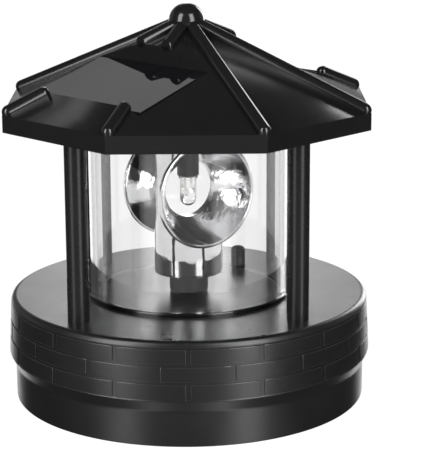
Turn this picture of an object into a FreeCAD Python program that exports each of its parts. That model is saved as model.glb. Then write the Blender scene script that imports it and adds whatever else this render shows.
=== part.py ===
import FreeCAD, Part
import math
import os

# Garden lighthouse lantern: round brick-banded base, clear tube with a turning
# double-dish reflector, four columns and an eight-sided roof with two solar panels.
# Millimetres. Z is up through the reflector's axis, the front faces -Y and the
# lowest face of the base lies at z = 0. Azimuths run from the front towards +X.

# ---- base housing ----
band_top_radius = 54.3
band_draft = 0.8
spigot_step = 1.8
deck_edge_round = 1.4
spigot_height = 10.5
shoulder_low_z = 14.3
band_top_z = 29.6
deck_z = 31.46
housing_wall = 2.0
deck_thickness = 2.2

# ---- brick relief on the band ----
brick_rows = 3
bricks_per_row = 16
brick_relief = 0.45
course_gap = 0.7
joint_gap = 1.25
middle_row_shift_deg = 13.5

# ---- columns ----
column_count = 4
column_eave_inset = 8.223
column_first_azimuth = 45.0
column_radius = 3.24
column_seat_depth = 1.0
column_pilot_depth = 9.0

# ---- clear tube and its foot ring ----
tube_radius = 29.94
tube_wall = 2.0
ring_wall = 1.2
ring_channel_depth = 0.8
ring_height = 1.2
ring_floor = 0.3
ring_lip = 0.5

# ---- roof ----
roof_overhang = 3.2
roof_sides = 8
eave_low_z = 84.80
eave_top_z = 89.94
apex_z = 114.4
roof_wall = 2.0
rib_radius = 1.95
ball_radius = 5.33
ball_top_z = 119.1

# ---- solar panels and their pockets ----
panel_azimuths = (-45.0, 135.0)
pocket_inner_reach = 13.8
pocket_outer_reach = 40.7
pocket_half_width = 22.5
panel_plane_inner_z = 102.65
panel_tilt_deg = 17.0
panel_thickness = 1.6
panel_margin = 0.3
pocket_wall = 1.8
stub_gap = 0.9
pocket_cut_rise = 20.0
wire_hole_radius = 1.2
roof_screw_eave_inset = 13.123
roof_screw_bite = 6.0
roof_screw_azimuths = (20.0, 70.0, 200.0, 250.0)

# ---- ceiling plate under the roof ----
ceiling_thickness = 2.0
ceiling_recess = 0.8
ceiling_rib_height = 1.6
ceiling_rib_wall = 1.4

# ---- lamp ----
lamp_tip_z = 57.8
lamp_radius = 2.5
lamp_flange_radius = 2.9
lamp_flange_height = 1.0
post_radius = 3.3
post_low_z = 67.3
post_bore_radius = 1.6
post_flange_radius = 5.5
post_flange_height = 1.4
lead_size = 0.5
lead_spacing = 1.27
lead_cup_rise = 3.2
lead_cup_radius = 0.7
lead_cup_foot_radius = 0.45
lead_cup_height = 0.7
lead_leg_rise = 2.0
lead_head_rise = 2.4
anvil_low_rise = 0.4
anvil_overhang = 0.9
anvil_edge = 0.1
anvil_half_depth = 0.5
flag_low_rise = 1.0
flag_inner_edge = 0.35
flag_outer_edge = 1.3
flag_half_depth = 0.4

# ---- turning reflector ----
dish_azimuth = 31.4
dish_axis_z = 63.27
dish_mouth_reach = 11.2
dish_rim_radius = 16.4
rim_width = 1.1
rim_thickness = 1.0
throat_radius = 8.6
throat_half_length = 1.2
dish_bulge = 0.65
dish_wall = 1.1
skirt_radius = 10.4
skirt_wall = 1.2
skirt_low_z = 37.55
collar_top_z = 77.0
lamp_opening_radius = 4.4
web_low_z = 44.0

# ---- drive hub, shaft and bearing ----
hub_radius = 5.87
hub_deck_gap = 0.4
shaft_radius = 1.5
shaft_grip = 5.0
shaft_low_z = 12.9
bush_radius = 3.0
bush_length = 5.2
bush_flange_radius = 4.0
bush_flange_height = 0.7
bush_boss_radius = 5.0

# ---- gear train ----
gear_module = 0.5
pressure_angle_deg = 20.0
output_teeth = 48
idler_small_teeth = 12
idler_large_teeth = 50
pinion_teeth = 10
wheel_addendum = 0.3
pinion_addendum = 0.5
tooth_dedendum = 0.62
tooth_backlash = 0.1
idler_direction_deg = 120.0
motor_direction_deg = 180.0
plate_low_z = 15.0
plate_thickness = 2.0
plate_border = 5.0
gear_face = 1.8
idler_float = 0.4
output_gear_z = 20.5
output_gear_face = 3.0
gear_hub_radius = 3.6
gear_hub_height = 1.5
idler_pin_radius = 1.0
idler_pin_head_radius = 1.8
plate_boss_radius = 4.0
plate_boss_drop = 2.6

# ---- motor ----
motor_radius = 12.2
motor_length = 10.8
motor_shaft_radius = 0.75
motor_nose_radius = 3.0
motor_nose_height = 1.0
motor_screw_reach = 8.0

# ---- bottom cover, battery tray and door ----
cover_recess = 1.6
cover_thickness = 2.0
cover_screw_radius = 44.0
cover_boss_radius = 3.6
cell_radius = 7.25
cell_length = 49.2
cell_nub_radius = 2.75
cell_nub_length = 1.3
cell_y = -28.0
cell_z = 11.0
tray_wall = 1.5
tray_top_z = 14.0
tray_end_room = 3.2
tray_side_room = 0.5
door_thickness = 1.1
door_overlap = 1.4
door_ear_radius = 4.2
contact_thickness = 0.4
contact_width = 9.0
contact_height = 10.0
contact_dimple_radius = 1.6
bow_half_height = 4.0
bow_width = 4.5

# ---- circuit board, switch and button ----
board_x = (4.5, 31.5)
board_y = (19.5, 37.5)
board_top_z = 15.6
board_thickness = 1.6
board_posts = ((8.0, 23.0), (26.0, 35.5))
board_post_radius = 2.2
button_azimuth = 150.6
button_ring_gap = 0.35
button_radius = 2.5
button_top_z = 37.4
button_dome = 1.3
button_travel = 1.0
button_flange_radius = 3.4
button_flange_height = 1.0
switch_size = 7.0
switch_height = 6.0
plunger_radius = 1.5
plunger_top_z = 24.6
plunger_sink = 2.4

# ---- components on the board's lower side ----
chip_size = (5.0, 4.0, 1.5)
resistor_size = (3.0, 1.4, 0.7)
choke_radius = 2.4
choke_height = 4.0
capacitor_radius = 2.5
capacitor_height = 7.0

# ---- screws ----
screw_radius = 1.2
screw_head_radius = 2.3
screw_head_height = 1.4
small_screw_radius = 0.8
small_head_radius = 1.5
long_screw_length = 8.0
door_screw_length = 7.0
roof_screw_length = 6.5
motor_screw_length = 4.5
board_screw_length = 5.0
cover_head_recess = 0.9

# ---- clearances ----
fit = 0.05
loose_fit = 0.2
running_fit = 0.05
button_fit = 0.1
screw_boss_wall = 1.5

# ---- places that follow from the values above ----
deck_low_z = deck_z - deck_thickness
ceiling_low_z = eave_low_z + ceiling_recess
ceiling_top_z = ceiling_low_z + ceiling_thickness
plate_top_z = plate_low_z + plate_thickness
band_low_radius = band_top_radius + band_draft
spigot_radius = band_low_radius - spigot_step
deck_flat_radius = band_top_radius - deck_edge_round
roof_corner_radius = band_top_radius + roof_overhang
eave_slope = (apex_z - eave_top_z) / (roof_corner_radius * math.cos(math.pi / roof_sides))
roof_apothem = roof_corner_radius * math.cos(math.pi / roof_sides)
column_circle_radius = roof_apothem - column_eave_inset
roof_screw_radius = roof_apothem - roof_screw_eave_inset
wall_drop = roof_wall * math.sqrt(1.0 + eave_slope ** 2)
cover_low_z = cover_recess
cover_top_z = cover_recess + cover_thickness
inner_radius = spigot_radius - housing_wall
idler_distance = gear_module * (output_teeth + idler_small_teeth) / 2.0
motor_distance = gear_module * (idler_large_teeth + pinion_teeth) / 2.0
idler_x = idler_distance * math.cos(math.radians(idler_direction_deg))
idler_y = idler_distance * math.sin(math.radians(idler_direction_deg))
motor_x = idler_x + motor_distance * math.cos(math.radians(motor_direction_deg))
motor_y = idler_y + motor_distance * math.sin(math.radians(motor_direction_deg))
idler_low_z = plate_top_z + idler_float
idler_small_low_z = idler_low_z + gear_face
idler_top_z = output_gear_z + output_gear_face + idler_float
plate_points = ((13.0, -12.0), (-30.0, -3.0), (-18.0, 30.0))
plate_corner = (4.0, 11.0)
button_reach = tube_radius + ring_wall + button_ring_gap + button_radius
button_x = button_reach * math.sin(math.radians(button_azimuth))
button_y = -button_reach * math.cos(math.radians(button_azimuth))
panel_seat_drop = panel_thickness / math.cos(math.radians(panel_tilt_deg))
cover_screw_places = [(cover_screw_radius * math.cos(math.radians(90.0 * k)),
                       cover_screw_radius * math.sin(math.radians(90.0 * k))) for k in range(4)]


# ---- small helpers ----
def vec(x, y, z):
    return FreeCAD.Vector(x, y, z)


def rod(radius, low_z, high_z, x=0.0, y=0.0):
    return Part.makeCylinder(radius, high_z - low_z, vec(x, y, low_z))


def ring(outer, inner, low_z, high_z, x=0.0, y=0.0):
    return rod(outer, low_z, high_z, x, y).cut(rod(inner, low_z, high_z, x, y))


def block(x_range, y_range, z_range):
    corner = vec(x_range[0], y_range[0], z_range[0])
    return Part.makeBox(x_range[1] - x_range[0], y_range[1] - y_range[0],
                        z_range[1] - z_range[0], corner)


def at_azimuth(radius, azimuth):
    angle = math.radians(azimuth)
    return radius * math.sin(angle), -radius * math.cos(angle)


def turned(start, *steps):
    """Solid turned about Z from an outline of (radius, z) points.

    A step is a point for a straight edge, or (middle, end) for an arc.
    """
    edges = []
    here = start
    for step in list(steps) + [start]:
        is_arc = isinstance(step[0], tuple)
        end = step[1] if is_arc else step
        a = vec(here[0], 0, here[1])
        b = vec(end[0], 0, end[1])
        if is_arc:
            middle = vec(step[0][0], 0, step[0][1])
            edges.append(Part.Arc(a, middle, b).toShape())
        elif a.distanceToPoint(b) > 1e-6:
            edges.append(Part.LineSegment(a, b).toShape())
        here = end
    face = Part.Face(Part.Wire(edges))
    return face.revolve(vec(0, 0, 0), vec(0, 0, 1), 360)


def fused(shapes):
    shapes = list(shapes)
    return shapes[0].fuse(shapes[1:]).removeSplitter()


def without(shape, cutters):
    return shape.cut(list(cutters))


def placed(shape, azimuth):
    """Turn a shape made for the +X direction so that it points along an azimuth."""
    turned_shape = shape.copy()
    turned_shape.rotate(vec(0, 0, 0), vec(0, 0, 1), azimuth - 90.0)
    return turned_shape


def octagon_prism(apothem, low_z, high_z):
    radius = apothem / math.cos(math.pi / roof_sides)
    corners = []
    for k in range(roof_sides + 1):
        x, y = at_azimuth(radius, 360.0 / roof_sides * (k + 0.5))
        corners.append(vec(x, y, low_z))
    face = Part.Face(Part.makePolygon(corners))
    return face.extrude(vec(0, 0, high_z - low_z))


def octagon_pyramid(apothem, low_z, tip_z):
    radius = apothem / math.cos(math.pi / roof_sides)
    tip = vec(0, 0, tip_z)
    corners = []
    for k in range(roof_sides + 1):
        x, y = at_azimuth(radius, 360.0 / roof_sides * (k + 0.5))
        corners.append(vec(x, y, low_z))
    faces = [Part.Face(Part.makePolygon(corners))]
    for k in range(roof_sides):
        faces.append(Part.Face(Part.makePolygon([corners[k], corners[k + 1], tip, corners[k]])))
    return Part.Solid(Part.Shell(faces))


def screw(x, y, seat_z, length, points_up, shank=screw_radius, head=screw_head_radius):
    """Plain pan-head screw with the seat of its head at seat_z, turned as one profile."""
    body = turned((0, -length), (shank, -length), (shank, 0), (head, 0), (head, screw_head_height),
                  (0, screw_head_height))
    if points_up:
        body.rotate(vec(0, 0, 0), vec(1, 0, 0), 180)
    body.translate(vec(x, y, seat_z))
    return body


# ---- base housing ----
def band_radius_at(z):
    share = (z - shoulder_low_z) / (band_top_z - shoulder_low_z)
    return band_low_radius + share * (band_top_radius - band_low_radius)


def course_height():
    return (band_top_z - shoulder_low_z) / brick_rows


def housing_shell():
    shoulder_mid = (deck_flat_radius + 0.80 * (band_top_radius - deck_flat_radius),
                    band_top_z + 0.72 * (deck_z - band_top_z))
    inner_chamfer = housing_wall * 0.5
    return turned((spigot_radius, 0), (spigot_radius, spigot_height), (band_low_radius, shoulder_low_z),
                  (band_top_radius, band_top_z), (shoulder_mid, (deck_flat_radius, deck_z)), (0, deck_z),
                  (0, deck_low_z), (band_top_radius - housing_wall, deck_low_z),
                  (band_low_radius - housing_wall, shoulder_low_z + inner_chamfer),
                  (inner_radius, spigot_height + inner_chamfer), (inner_radius, 0))


def course_grooves():
    half = course_gap / 2.0
    grooves = []
    for row in range(1, brick_rows + 1):
        z = shoulder_low_z + row * course_height()
        radius = band_radius_at(z)
        grooves.append(ring(radius + 2.0, radius - brick_relief, z - half, z + half))
    return grooves


def upright_joints():
    """Upright mortar joints: boxes kept only within the relief depth of the drafted band."""
    reach = 2.0
    relief_zone = turned((band_low_radius - brick_relief, shoulder_low_z),
                         (band_low_radius + reach, shoulder_low_z),
                         (band_top_radius + reach, band_top_z),
                         (band_top_radius - brick_relief, band_top_z))
    boxes = []
    for row in range(brick_rows):
        low_z = shoulder_low_z + row * course_height()
        shift = middle_row_shift_deg if row % 2 else 0.0
        for k in range(bricks_per_row):
            box = block((band_top_radius - reach, band_low_radius + 2 * reach),
                        (-joint_gap / 2.0, joint_gap / 2.0), (low_z, low_z + course_height()))
            boxes.append(placed(box, shift + 360.0 / bricks_per_row * k))
    return relief_zone.common(Part.Compound(boxes))


def column_places():
    places = []
    for k in range(column_count):
        places.append(at_azimuth(column_circle_radius, column_first_azimuth + 360.0 / column_count * k))
    return places


def make_base_housing():
    shell = housing_shell()
    posts = [rod(cover_boss_radius, cover_top_z, deck_low_z + 0.5, x, y) for x, y in cover_screw_places]
    posts += [rod(screw_radius + screw_boss_wall, plate_top_z, deck_low_z + 0.5, x, y)
              for x, y in plate_points]
    posts += [rod(board_post_radius, board_top_z, deck_low_z + 0.5, x, y) for x, y in board_posts]
    posts.append(rod(bush_boss_radius, deck_z - bush_length, deck_low_z + 0.5))
    body = fused([shell] + posts)
    pilot = screw_radius + fit
    cuts = course_grooves() + [upright_joints()]
    cuts += [rod(pilot, cover_top_z - 1, cover_top_z + 10, x, y) for x, y in cover_screw_places]
    cuts += [rod(pilot, plate_top_z - 1, plate_top_z + 8, x, y) for x, y in plate_points]
    cuts += [rod(small_screw_radius + fit, board_top_z - 1, board_top_z + 6, x, y) for x, y in board_posts]
    for x, y in column_places():
        cuts.append(rod(column_radius + fit, deck_z - column_seat_depth, deck_z + 1, x, y))
        cuts.append(rod(screw_radius + loose_fit, deck_low_z - 1, deck_z, x, y))
    cuts.append(rod(bush_radius + fit, 0, deck_z + 1))
    cuts.append(rod(bush_flange_radius + fit, deck_z - bush_flange_height, deck_z + 1))
    cuts.append(rod(button_radius + button_fit, deck_low_z - 1, deck_z + 1, button_x, button_y))
    outer = tube_radius + ring_wall + fit
    inner = tube_radius - tube_wall - ring_wall - fit
    cuts.append(ring(outer, inner, deck_z - ring_channel_depth, deck_z + 1))
    return without(body, cuts)


def make_foot_ring():
    """Soft ring in the deck channel: its outer lip stands round the tube, its inner one is flush."""
    low_z = deck_z - ring_channel_depth
    top_z = deck_z + ring_height
    outer = tube_radius + ring_wall
    inner = tube_radius - tube_wall - ring_wall
    slot_outer = tube_radius + fit
    slot_inner = tube_radius - tube_wall - fit
    floor_z = low_z + ring_floor
    return turned((inner, low_z), (outer, low_z), (outer, top_z - ring_lip), (outer - ring_lip, top_z),
                  (slot_outer, top_z), (slot_outer, floor_z), (slot_inner, floor_z), (slot_inner, deck_z),
                  (inner, deck_z))


def make_lens_tube():
    low_z = deck_z - ring_channel_depth + ring_floor
    return ring(tube_radius, tube_radius - tube_wall, low_z, ceiling_low_z - fit)


def make_column(x, y):
    low_z = deck_z - column_seat_depth
    high_z = ceiling_low_z + column_seat_depth
    pilot = screw_radius + fit
    return without(rod(column_radius, low_z, high_z, x, y),
                   [rod(pilot, low_z - 1, low_z + column_pilot_depth, x, y),
                    rod(pilot, high_z - column_pilot_depth, high_z + 1, x, y)])


# ---- roof ----
def roof_surface_z(apothem_reach):
    return apex_z - eave_slope * apothem_reach


def ridge_point(radius, azimuth):
    x, y = at_azimuth(radius, azimuth)
    return vec(x, y, roof_surface_z(radius * math.cos(math.pi / roof_sides)))


def rib(azimuth, low_radius, high_radius):
    """Half-round rib: a rod with rounded ends, centred on the ridge line."""
    inner_end = ridge_point(low_radius, azimuth)
    outer_end = ridge_point(high_radius, azimuth)
    along = outer_end - inner_end
    rounds = [outer_end] if low_radius == 0 else [inner_end, outer_end]
    bar = Part.makeCylinder(rib_radius, along.Length, inner_end, along)
    return [bar] + [Part.makeSphere(rib_radius, end) for end in rounds]


def near_pocket(azimuth):
    for panel_azimuth in panel_azimuths:
        gap = (azimuth - panel_azimuth + 180.0) % 360.0 - 180.0
        if abs(gap) < 200.0 / roof_sides:
            return True
    return False


def make_ribs():
    lean = math.cos(math.pi / roof_sides)
    slope_length = math.sqrt(1.0 + (eave_slope * lean) ** 2)
    outer_end = roof_corner_radius - rib_radius
    shapes = []
    for k in range(roof_sides):
        azimuth = 360.0 / roof_sides * (k + 0.5)
        if near_pocket(azimuth):
            stub_start = (pocket_outer_reach + stub_gap) / lean + rib_radius / slope_length - rib_radius
            shapes += rib(azimuth, stub_start, outer_end)
            shapes += rib(azimuth, 0.0, pocket_inner_reach / lean - 0.5 * rib_radius)
        else:
            shapes += rib(azimuth, 0.0, outer_end)
    return shapes


def panel_top_z(reach):
    return panel_plane_inner_z - math.tan(math.radians(panel_tilt_deg)) * (reach - pocket_inner_reach)


def tilted_prism(inner_reach, outer_reach, half_width, drop_low, drop_high):
    """Upright-sided prism whose floor and top are parallel to the panel's plane, along +X."""
    points = [vec(inner_reach, -half_width, panel_top_z(inner_reach) - drop_low),
              vec(outer_reach, -half_width, panel_top_z(outer_reach) - drop_low),
              vec(outer_reach, -half_width, panel_top_z(outer_reach) - drop_high),
              vec(inner_reach, -half_width, panel_top_z(inner_reach) - drop_high)]
    face = Part.Face(Part.makePolygon(points + [points[0]]))
    return face.extrude(vec(0, 2 * half_width, 0))


def make_roof_shell():
    outer = octagon_prism(roof_apothem, eave_low_z, eave_top_z)
    outer = outer.fuse(octagon_pyramid(roof_apothem, eave_top_z, apex_z)).removeSplitter()
    inner_apothem = roof_apothem - roof_wall
    inner_eave_z = roof_surface_z(inner_apothem) - wall_drop
    hollow = octagon_prism(inner_apothem, eave_low_z - 1, inner_eave_z)
    hollow = hollow.fuse(octagon_pyramid(inner_apothem, inner_eave_z, apex_z - wall_drop))
    skin = outer.cut(hollow)
    added = make_ribs()
    added.append(Part.makeSphere(ball_radius, vec(0, 0, ball_top_z - ball_radius)))
    cuts = []
    for azimuth in panel_azimuths:
        tray = tilted_prism(pocket_inner_reach - pocket_wall, pocket_outer_reach + pocket_wall,
                            pocket_half_width + pocket_wall, panel_seat_drop + pocket_wall, -pocket_cut_rise)
        added.append(placed(tray, azimuth).common(outer))
        well = tilted_prism(pocket_inner_reach, pocket_outer_reach, pocket_half_width, panel_seat_drop,
                            -pocket_cut_rise)
        cuts.append(placed(well, azimuth))
        mid_reach = (pocket_inner_reach + pocket_outer_reach) / 2.0
        x, y = at_azimuth(mid_reach, azimuth)
        cuts.append(rod(wire_hole_radius, eave_low_z, apex_z, x, y))
    for azimuth in roof_screw_azimuths:
        x, y = at_azimuth(roof_screw_radius, azimuth)
        added.append(rod(screw_radius + screw_boss_wall, ceiling_top_z, apex_z, x, y).common(outer))
        cuts.append(rod(screw_radius + fit, ceiling_top_z - 1, ceiling_top_z + roof_screw_bite, x, y))
    return without(fused([skin] + added), cuts)


def make_solar_panel(azimuth):
    """Panel slab with square edges lying on the pocket's tilted floor."""
    tilt = math.radians(panel_tilt_deg)
    reach = pocket_inner_reach + panel_margin + panel_thickness * math.sin(tilt)
    length = (pocket_outer_reach - 2 * panel_margin - reach) / math.cos(tilt)
    half = pocket_half_width - panel_margin
    slab = Part.makeBox(length, 2 * half, panel_thickness, vec(0, -half, -panel_thickness))
    slab.rotate(vec(0, 0, 0), vec(0, 1, 0), panel_tilt_deg)
    slab.translate(vec(reach, 0, panel_top_z(reach)))
    return placed(slab, azimuth)


def make_ceiling_plate():
    plate = octagon_prism(roof_apothem - roof_wall - loose_fit, ceiling_low_z, ceiling_top_z)
    rib_outer = tube_radius - tube_wall - loose_fit
    locating_rib = ring(rib_outer, rib_outer - ceiling_rib_wall, ceiling_low_z - ceiling_rib_height,
                        ceiling_low_z)
    plate = fused([plate, locating_rib])
    cuts = [rod(post_radius + fit, ceiling_low_z - 1, ceiling_top_z + 1)]
    for x, y in column_places():
        cuts.append(rod(column_radius + fit, ceiling_low_z - 1, ceiling_low_z + column_seat_depth, x, y))
        cuts.append(rod(screw_radius + loose_fit, ceiling_low_z, ceiling_top_z + 1, x, y))
    for azimuth in roof_screw_azimuths:
        x, y = at_azimuth(roof_screw_radius, azimuth)
        cuts.append(rod(screw_radius + loose_fit, ceiling_low_z - 1, ceiling_top_z + 1, x, y))
    return without(plate, cuts)


# ---- lamp ----
def make_lamp_post():
    top_z = ceiling_top_z + post_flange_height
    body = turned((0, post_low_z), (post_radius, post_low_z), (post_radius, ceiling_top_z),
                  (post_flange_radius, ceiling_top_z), (post_flange_radius, top_z), (0, top_z))
    return body.cut(rod(post_bore_radius, post_low_z - 1, top_z + 1))


def lamp_lead(x, low_z):
    half = lead_size / 2.0
    return block((x - half, x + half), (-half, half), (low_z, ceiling_top_z + post_flange_height))


def make_lamp_leads():
    """Lead frame: two square leads, the wide one ending in the cup that holds the chip."""
    cup_z = lamp_tip_z + lead_cup_rise
    half_gap = lead_spacing / 2.0
    head_z = cup_z + lead_head_rise
    anvil = block((-half_gap - anvil_overhang, anvil_edge), (-anvil_half_depth, anvil_half_depth),
                  (cup_z + anvil_low_rise, head_z))
    cup = Part.makeCone(lead_cup_radius, lead_cup_foot_radius, lead_cup_height, vec(-half_gap, 0, cup_z))
    flag = block((flag_inner_edge, flag_outer_edge), (-flag_half_depth, flag_half_depth),
                 (cup_z + flag_low_rise, head_z))
    wide = fused([lamp_lead(-half_gap, cup_z + lead_leg_rise), anvil, cup])
    thin = fused([lamp_lead(half_gap, cup_z + lead_leg_rise), flag])
    return Part.Compound([wide, thin])


def make_lamp():
    top_z = post_low_z
    dome_z = lamp_tip_z + lamp_radius
    slant = lamp_radius * math.sqrt(0.5)
    body = turned((0, lamp_tip_z), ((slant, dome_z - slant), (lamp_radius, dome_z)),
                  (lamp_radius, top_z - lamp_flange_height), (lamp_flange_radius, top_z - lamp_flange_height),
                  (lamp_flange_radius, top_z), (0, top_z))
    return body.cut(make_lamp_leads())


# ---- reflector and drive ----
def horn(inner):
    """One dish of the reflector as a solid of its inside or its outside, opening along +Z."""
    grow = 0.0 if inner else dish_wall
    mouth = dish_rim_radius - rim_width
    mid_reach = (throat_half_length + dish_mouth_reach) / 2.0
    mid_radius = (throat_radius + mouth) / 2.0 + dish_bulge
    if inner:
        return turned((0, 0), (throat_radius, 0), (throat_radius, throat_half_length),
                      ((mid_radius, mid_reach), (mouth, dish_mouth_reach)), (mouth, dish_mouth_reach + 1),
                      (0, dish_mouth_reach + 1))
    rim_low = dish_mouth_reach - rim_thickness
    return turned((0, 0), (throat_radius + grow, 0), (throat_radius + grow, throat_half_length - 0.5 * grow),
                  ((mid_radius + grow * 0.8, mid_reach - grow * 0.6), (mouth + 0.4 * grow, rim_low)),
                  (dish_rim_radius, rim_low), (dish_rim_radius, dish_mouth_reach), (0, dish_mouth_reach))


def both_ways(shape):
    """The shape and its opposite, laid along the dish axis at the dish height."""
    pair = []
    for lean in (90.0, -90.0):
        half = shape.copy()
        half.rotate(vec(0, 0, 0), vec(0, 1, 0), lean)
        half = placed(half, dish_azimuth)
        half.translate(vec(0, 0, dish_axis_z))
        pair.append(half)
    return pair


def make_reflector():
    """Upright skirt joined to two opposed dishes, open at the throat and over the lamp."""
    collar = rod(skirt_radius, skirt_low_z, collar_top_z)
    body = fused([collar] + both_ways(horn(False)))
    cuts = both_ways(horn(True))
    cuts.append(rod(skirt_radius - skirt_wall, skirt_low_z - 1, web_low_z))
    cuts.append(rod(lamp_opening_radius, dish_axis_z, collar_top_z + 1))
    cuts.append(rod(shaft_radius + fit, web_low_z - 1, web_low_z + shaft_grip + fit))
    return without(body, cuts)


def make_drive_hub():
    body = rod(hub_radius, deck_z + hub_deck_gap, web_low_z)
    return body.cut(rod(shaft_radius + fit, 0, web_low_z + 1))


def make_rotor_shaft():
    return rod(shaft_radius, shaft_low_z, web_low_z + shaft_grip)


def make_shaft_bush():
    low_z = deck_z - bush_length
    body = rod(bush_radius, low_z, deck_z)
    flange = rod(bush_flange_radius, deck_z - bush_flange_height, deck_z)
    return body.fuse(flange).removeSplitter().cut(rod(shaft_radius + running_fit, 0, deck_z + 1))


# ---- gears ----
def involute(angle):
    return math.tan(angle) - angle


def gear_face_outline(teeth, addendum, phase_deg):
    pitch = gear_module * teeth / 2.0
    pressure = math.radians(pressure_angle_deg)
    base = pitch * math.cos(pressure)
    root = pitch - tooth_dedendum
    tip = pitch + addendum
    start = max(root, base)
    half_tooth = math.pi / (2 * teeth) - tooth_backlash / (2 * pitch) + involute(pressure)
    flank = []
    if root < base:
        flank.append((root, half_tooth))
    for share in (0.0, 1.0):
        radius = start + share * (tip - start)
        flank.append((radius, half_tooth - involute(math.acos(min(1.0, base / radius)))))
    points = []
    for k in range(teeth):
        centre = math.radians(phase_deg) + 2 * math.pi * k / teeth
        for radius, half in flank:
            points.append(vec(radius * math.cos(centre - half), radius * math.sin(centre - half), 0))
        for radius, half in reversed(flank):
            points.append(vec(radius * math.cos(centre + half), radius * math.sin(centre + half), 0))
    return Part.Face(Part.makePolygon(points + [points[0]]))


def gear(teeth, addendum, phase_deg, low_z, high_z, x=0.0, y=0.0):
    body = gear_face_outline(teeth, addendum, phase_deg).extrude(vec(0, 0, high_z - low_z))
    body.translate(vec(x, y, low_z))
    return body


def make_output_gear():
    top_z = output_gear_z + output_gear_face
    body = gear(output_teeth, wheel_addendum, idler_direction_deg, output_gear_z, top_z)
    body = fused([body, rod(gear_hub_radius, top_z, top_z + gear_hub_height)])
    return body.cut(rod(shaft_radius + fit, 0, deck_z))


def make_idler_gear():
    large = gear(idler_large_teeth, wheel_addendum, motor_direction_deg, idler_low_z, idler_small_low_z,
                 idler_x, idler_y)
    small_phase = idler_direction_deg + 180.0 - 180.0 / idler_small_teeth
    small = gear(idler_small_teeth, pinion_addendum, small_phase, idler_small_low_z, idler_top_z,
                 idler_x, idler_y)
    body = fused([large, small])
    return body.cut(rod(idler_pin_radius + running_fit, 0, deck_z, idler_x, idler_y))


def make_idler_pin():
    head_z = idler_top_z + idler_float
    body = rod(idler_pin_radius, plate_low_z, head_z, idler_x, idler_y)
    head = rod(idler_pin_head_radius, head_z, head_z + 1.0, idler_x, idler_y)
    return fused([body, head])


def make_motor_pinion():
    phase = motor_direction_deg + 180.0 - 180.0 / pinion_teeth
    body = gear(pinion_teeth, pinion_addendum, phase, idler_low_z, idler_small_low_z + idler_float,
                motor_x, motor_y)
    return body.cut(rod(motor_shaft_radius + fit, 0, deck_z, motor_x, motor_y))


def make_motor_shaft():
    return rod(motor_shaft_radius, plate_low_z - motor_length / 2.0, idler_small_low_z + 2 * idler_float,
               motor_x, motor_y)


def motor_screw_places():
    return [(motor_x, motor_y + motor_screw_reach), (motor_x, motor_y - motor_screw_reach)]


def make_motor_can():
    low_z = plate_low_z - motor_length
    edge = 0.8
    body = turned((0, low_z), (motor_radius - edge, low_z), (motor_radius, low_z + edge),
                  (motor_radius, plate_low_z - edge), (motor_radius - edge, plate_low_z), (0, plate_low_z))
    body.translate(vec(motor_x, motor_y, 0))
    nose = rod(motor_nose_radius, plate_low_z, plate_low_z + motor_nose_height, motor_x, motor_y)
    body = fused([body, nose])
    cuts = [rod(motor_shaft_radius + running_fit, plate_low_z - motor_length / 2.0 - fit, deck_z,
                motor_x, motor_y)]
    cuts += [rod(small_screw_radius + fit, plate_low_z - 4, plate_low_z + 1, x, y)
             for x, y in motor_screw_places()]
    return without(body, cuts)


def make_gear_plate():
    corners = [plate_points[0], plate_corner, plate_points[2], plate_points[1]]
    outline = [vec(x, y, plate_low_z) for x, y in corners]
    face = Part.Face(Part.makePolygon(outline + [outline[0]]))
    body = face.makeOffset2D(plate_border, join=0).extrude(vec(0, 0, plate_thickness))
    pad = rod(motor_radius, plate_low_z, plate_top_z, motor_x, motor_y)
    boss = rod(plate_boss_radius, plate_low_z - plate_boss_drop, plate_low_z)
    body = fused([body, pad, boss])
    cuts = [rod(shaft_radius + running_fit, shaft_low_z - fit, plate_top_z + 1)]
    cuts.append(rod(idler_pin_radius + fit, 0, deck_z, idler_x, idler_y))
    cuts.append(rod(motor_nose_radius + fit, 0, plate_low_z + motor_nose_height + fit, motor_x, motor_y))
    cuts.append(rod(motor_shaft_radius + loose_fit, 0, deck_z, motor_x, motor_y))
    cuts += [rod(screw_radius + loose_fit, 0, deck_z, x, y) for x, y in plate_points]
    cuts += [rod(small_screw_radius + loose_fit, 0, deck_z, x, y) for x, y in motor_screw_places()]
    return without(body, cuts)


# ---- bottom cover and battery ----
def tray_room():
    half_length = cell_length / 2.0 + tray_end_room
    half_width = cell_radius + tray_side_room
    return half_length, half_width


def door_ear_x():
    half_length, half_width = tray_room()
    return half_length + door_overlap + 2.2


def door_outline(growth, low_z, high_z):
    half_length, half_width = tray_room()
    reach_x = half_length + door_overlap + growth
    reach_y = half_width + door_overlap + growth
    panel = block((-reach_x, reach_x), (cell_y - reach_y, cell_y + reach_y), (low_z, high_z))
    ear = rod(door_ear_radius + growth, low_z, high_z, door_ear_x(), cell_y)
    return fused([panel, ear])


def make_bottom_cover():
    half_length, half_width = tray_room()
    disc = rod(inner_radius - loose_fit, cover_low_z, cover_top_z)
    wall = block((-half_length - tray_wall, half_length + tray_wall),
                 (cell_y - half_width - tray_wall, cell_y + half_width + tray_wall),
                 (cover_low_z, tray_top_z))
    ear_boss = rod(screw_radius + screw_boss_wall, cover_low_z, tray_top_z - 2.0, door_ear_x(), cell_y)
    body = fused([disc, wall, ear_boss])
    cuts = [block((-half_length, half_length), (cell_y - half_width, cell_y + half_width), (0, deck_z))]
    cuts.append(door_outline(loose_fit, 0, cover_low_z + door_thickness))
    cuts.append(rod(screw_radius + fit, 0, tray_top_z - 4.0, door_ear_x(), cell_y))
    cuts += [rod(screw_radius + loose_fit, 0, cover_top_z + 1, x, y) for x, y in cover_screw_places]
    cuts += [rod(screw_head_radius + loose_fit, 0, cover_low_z + cover_head_recess, x, y)
             for x, y in cover_screw_places]
    return without(body, cuts)


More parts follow.
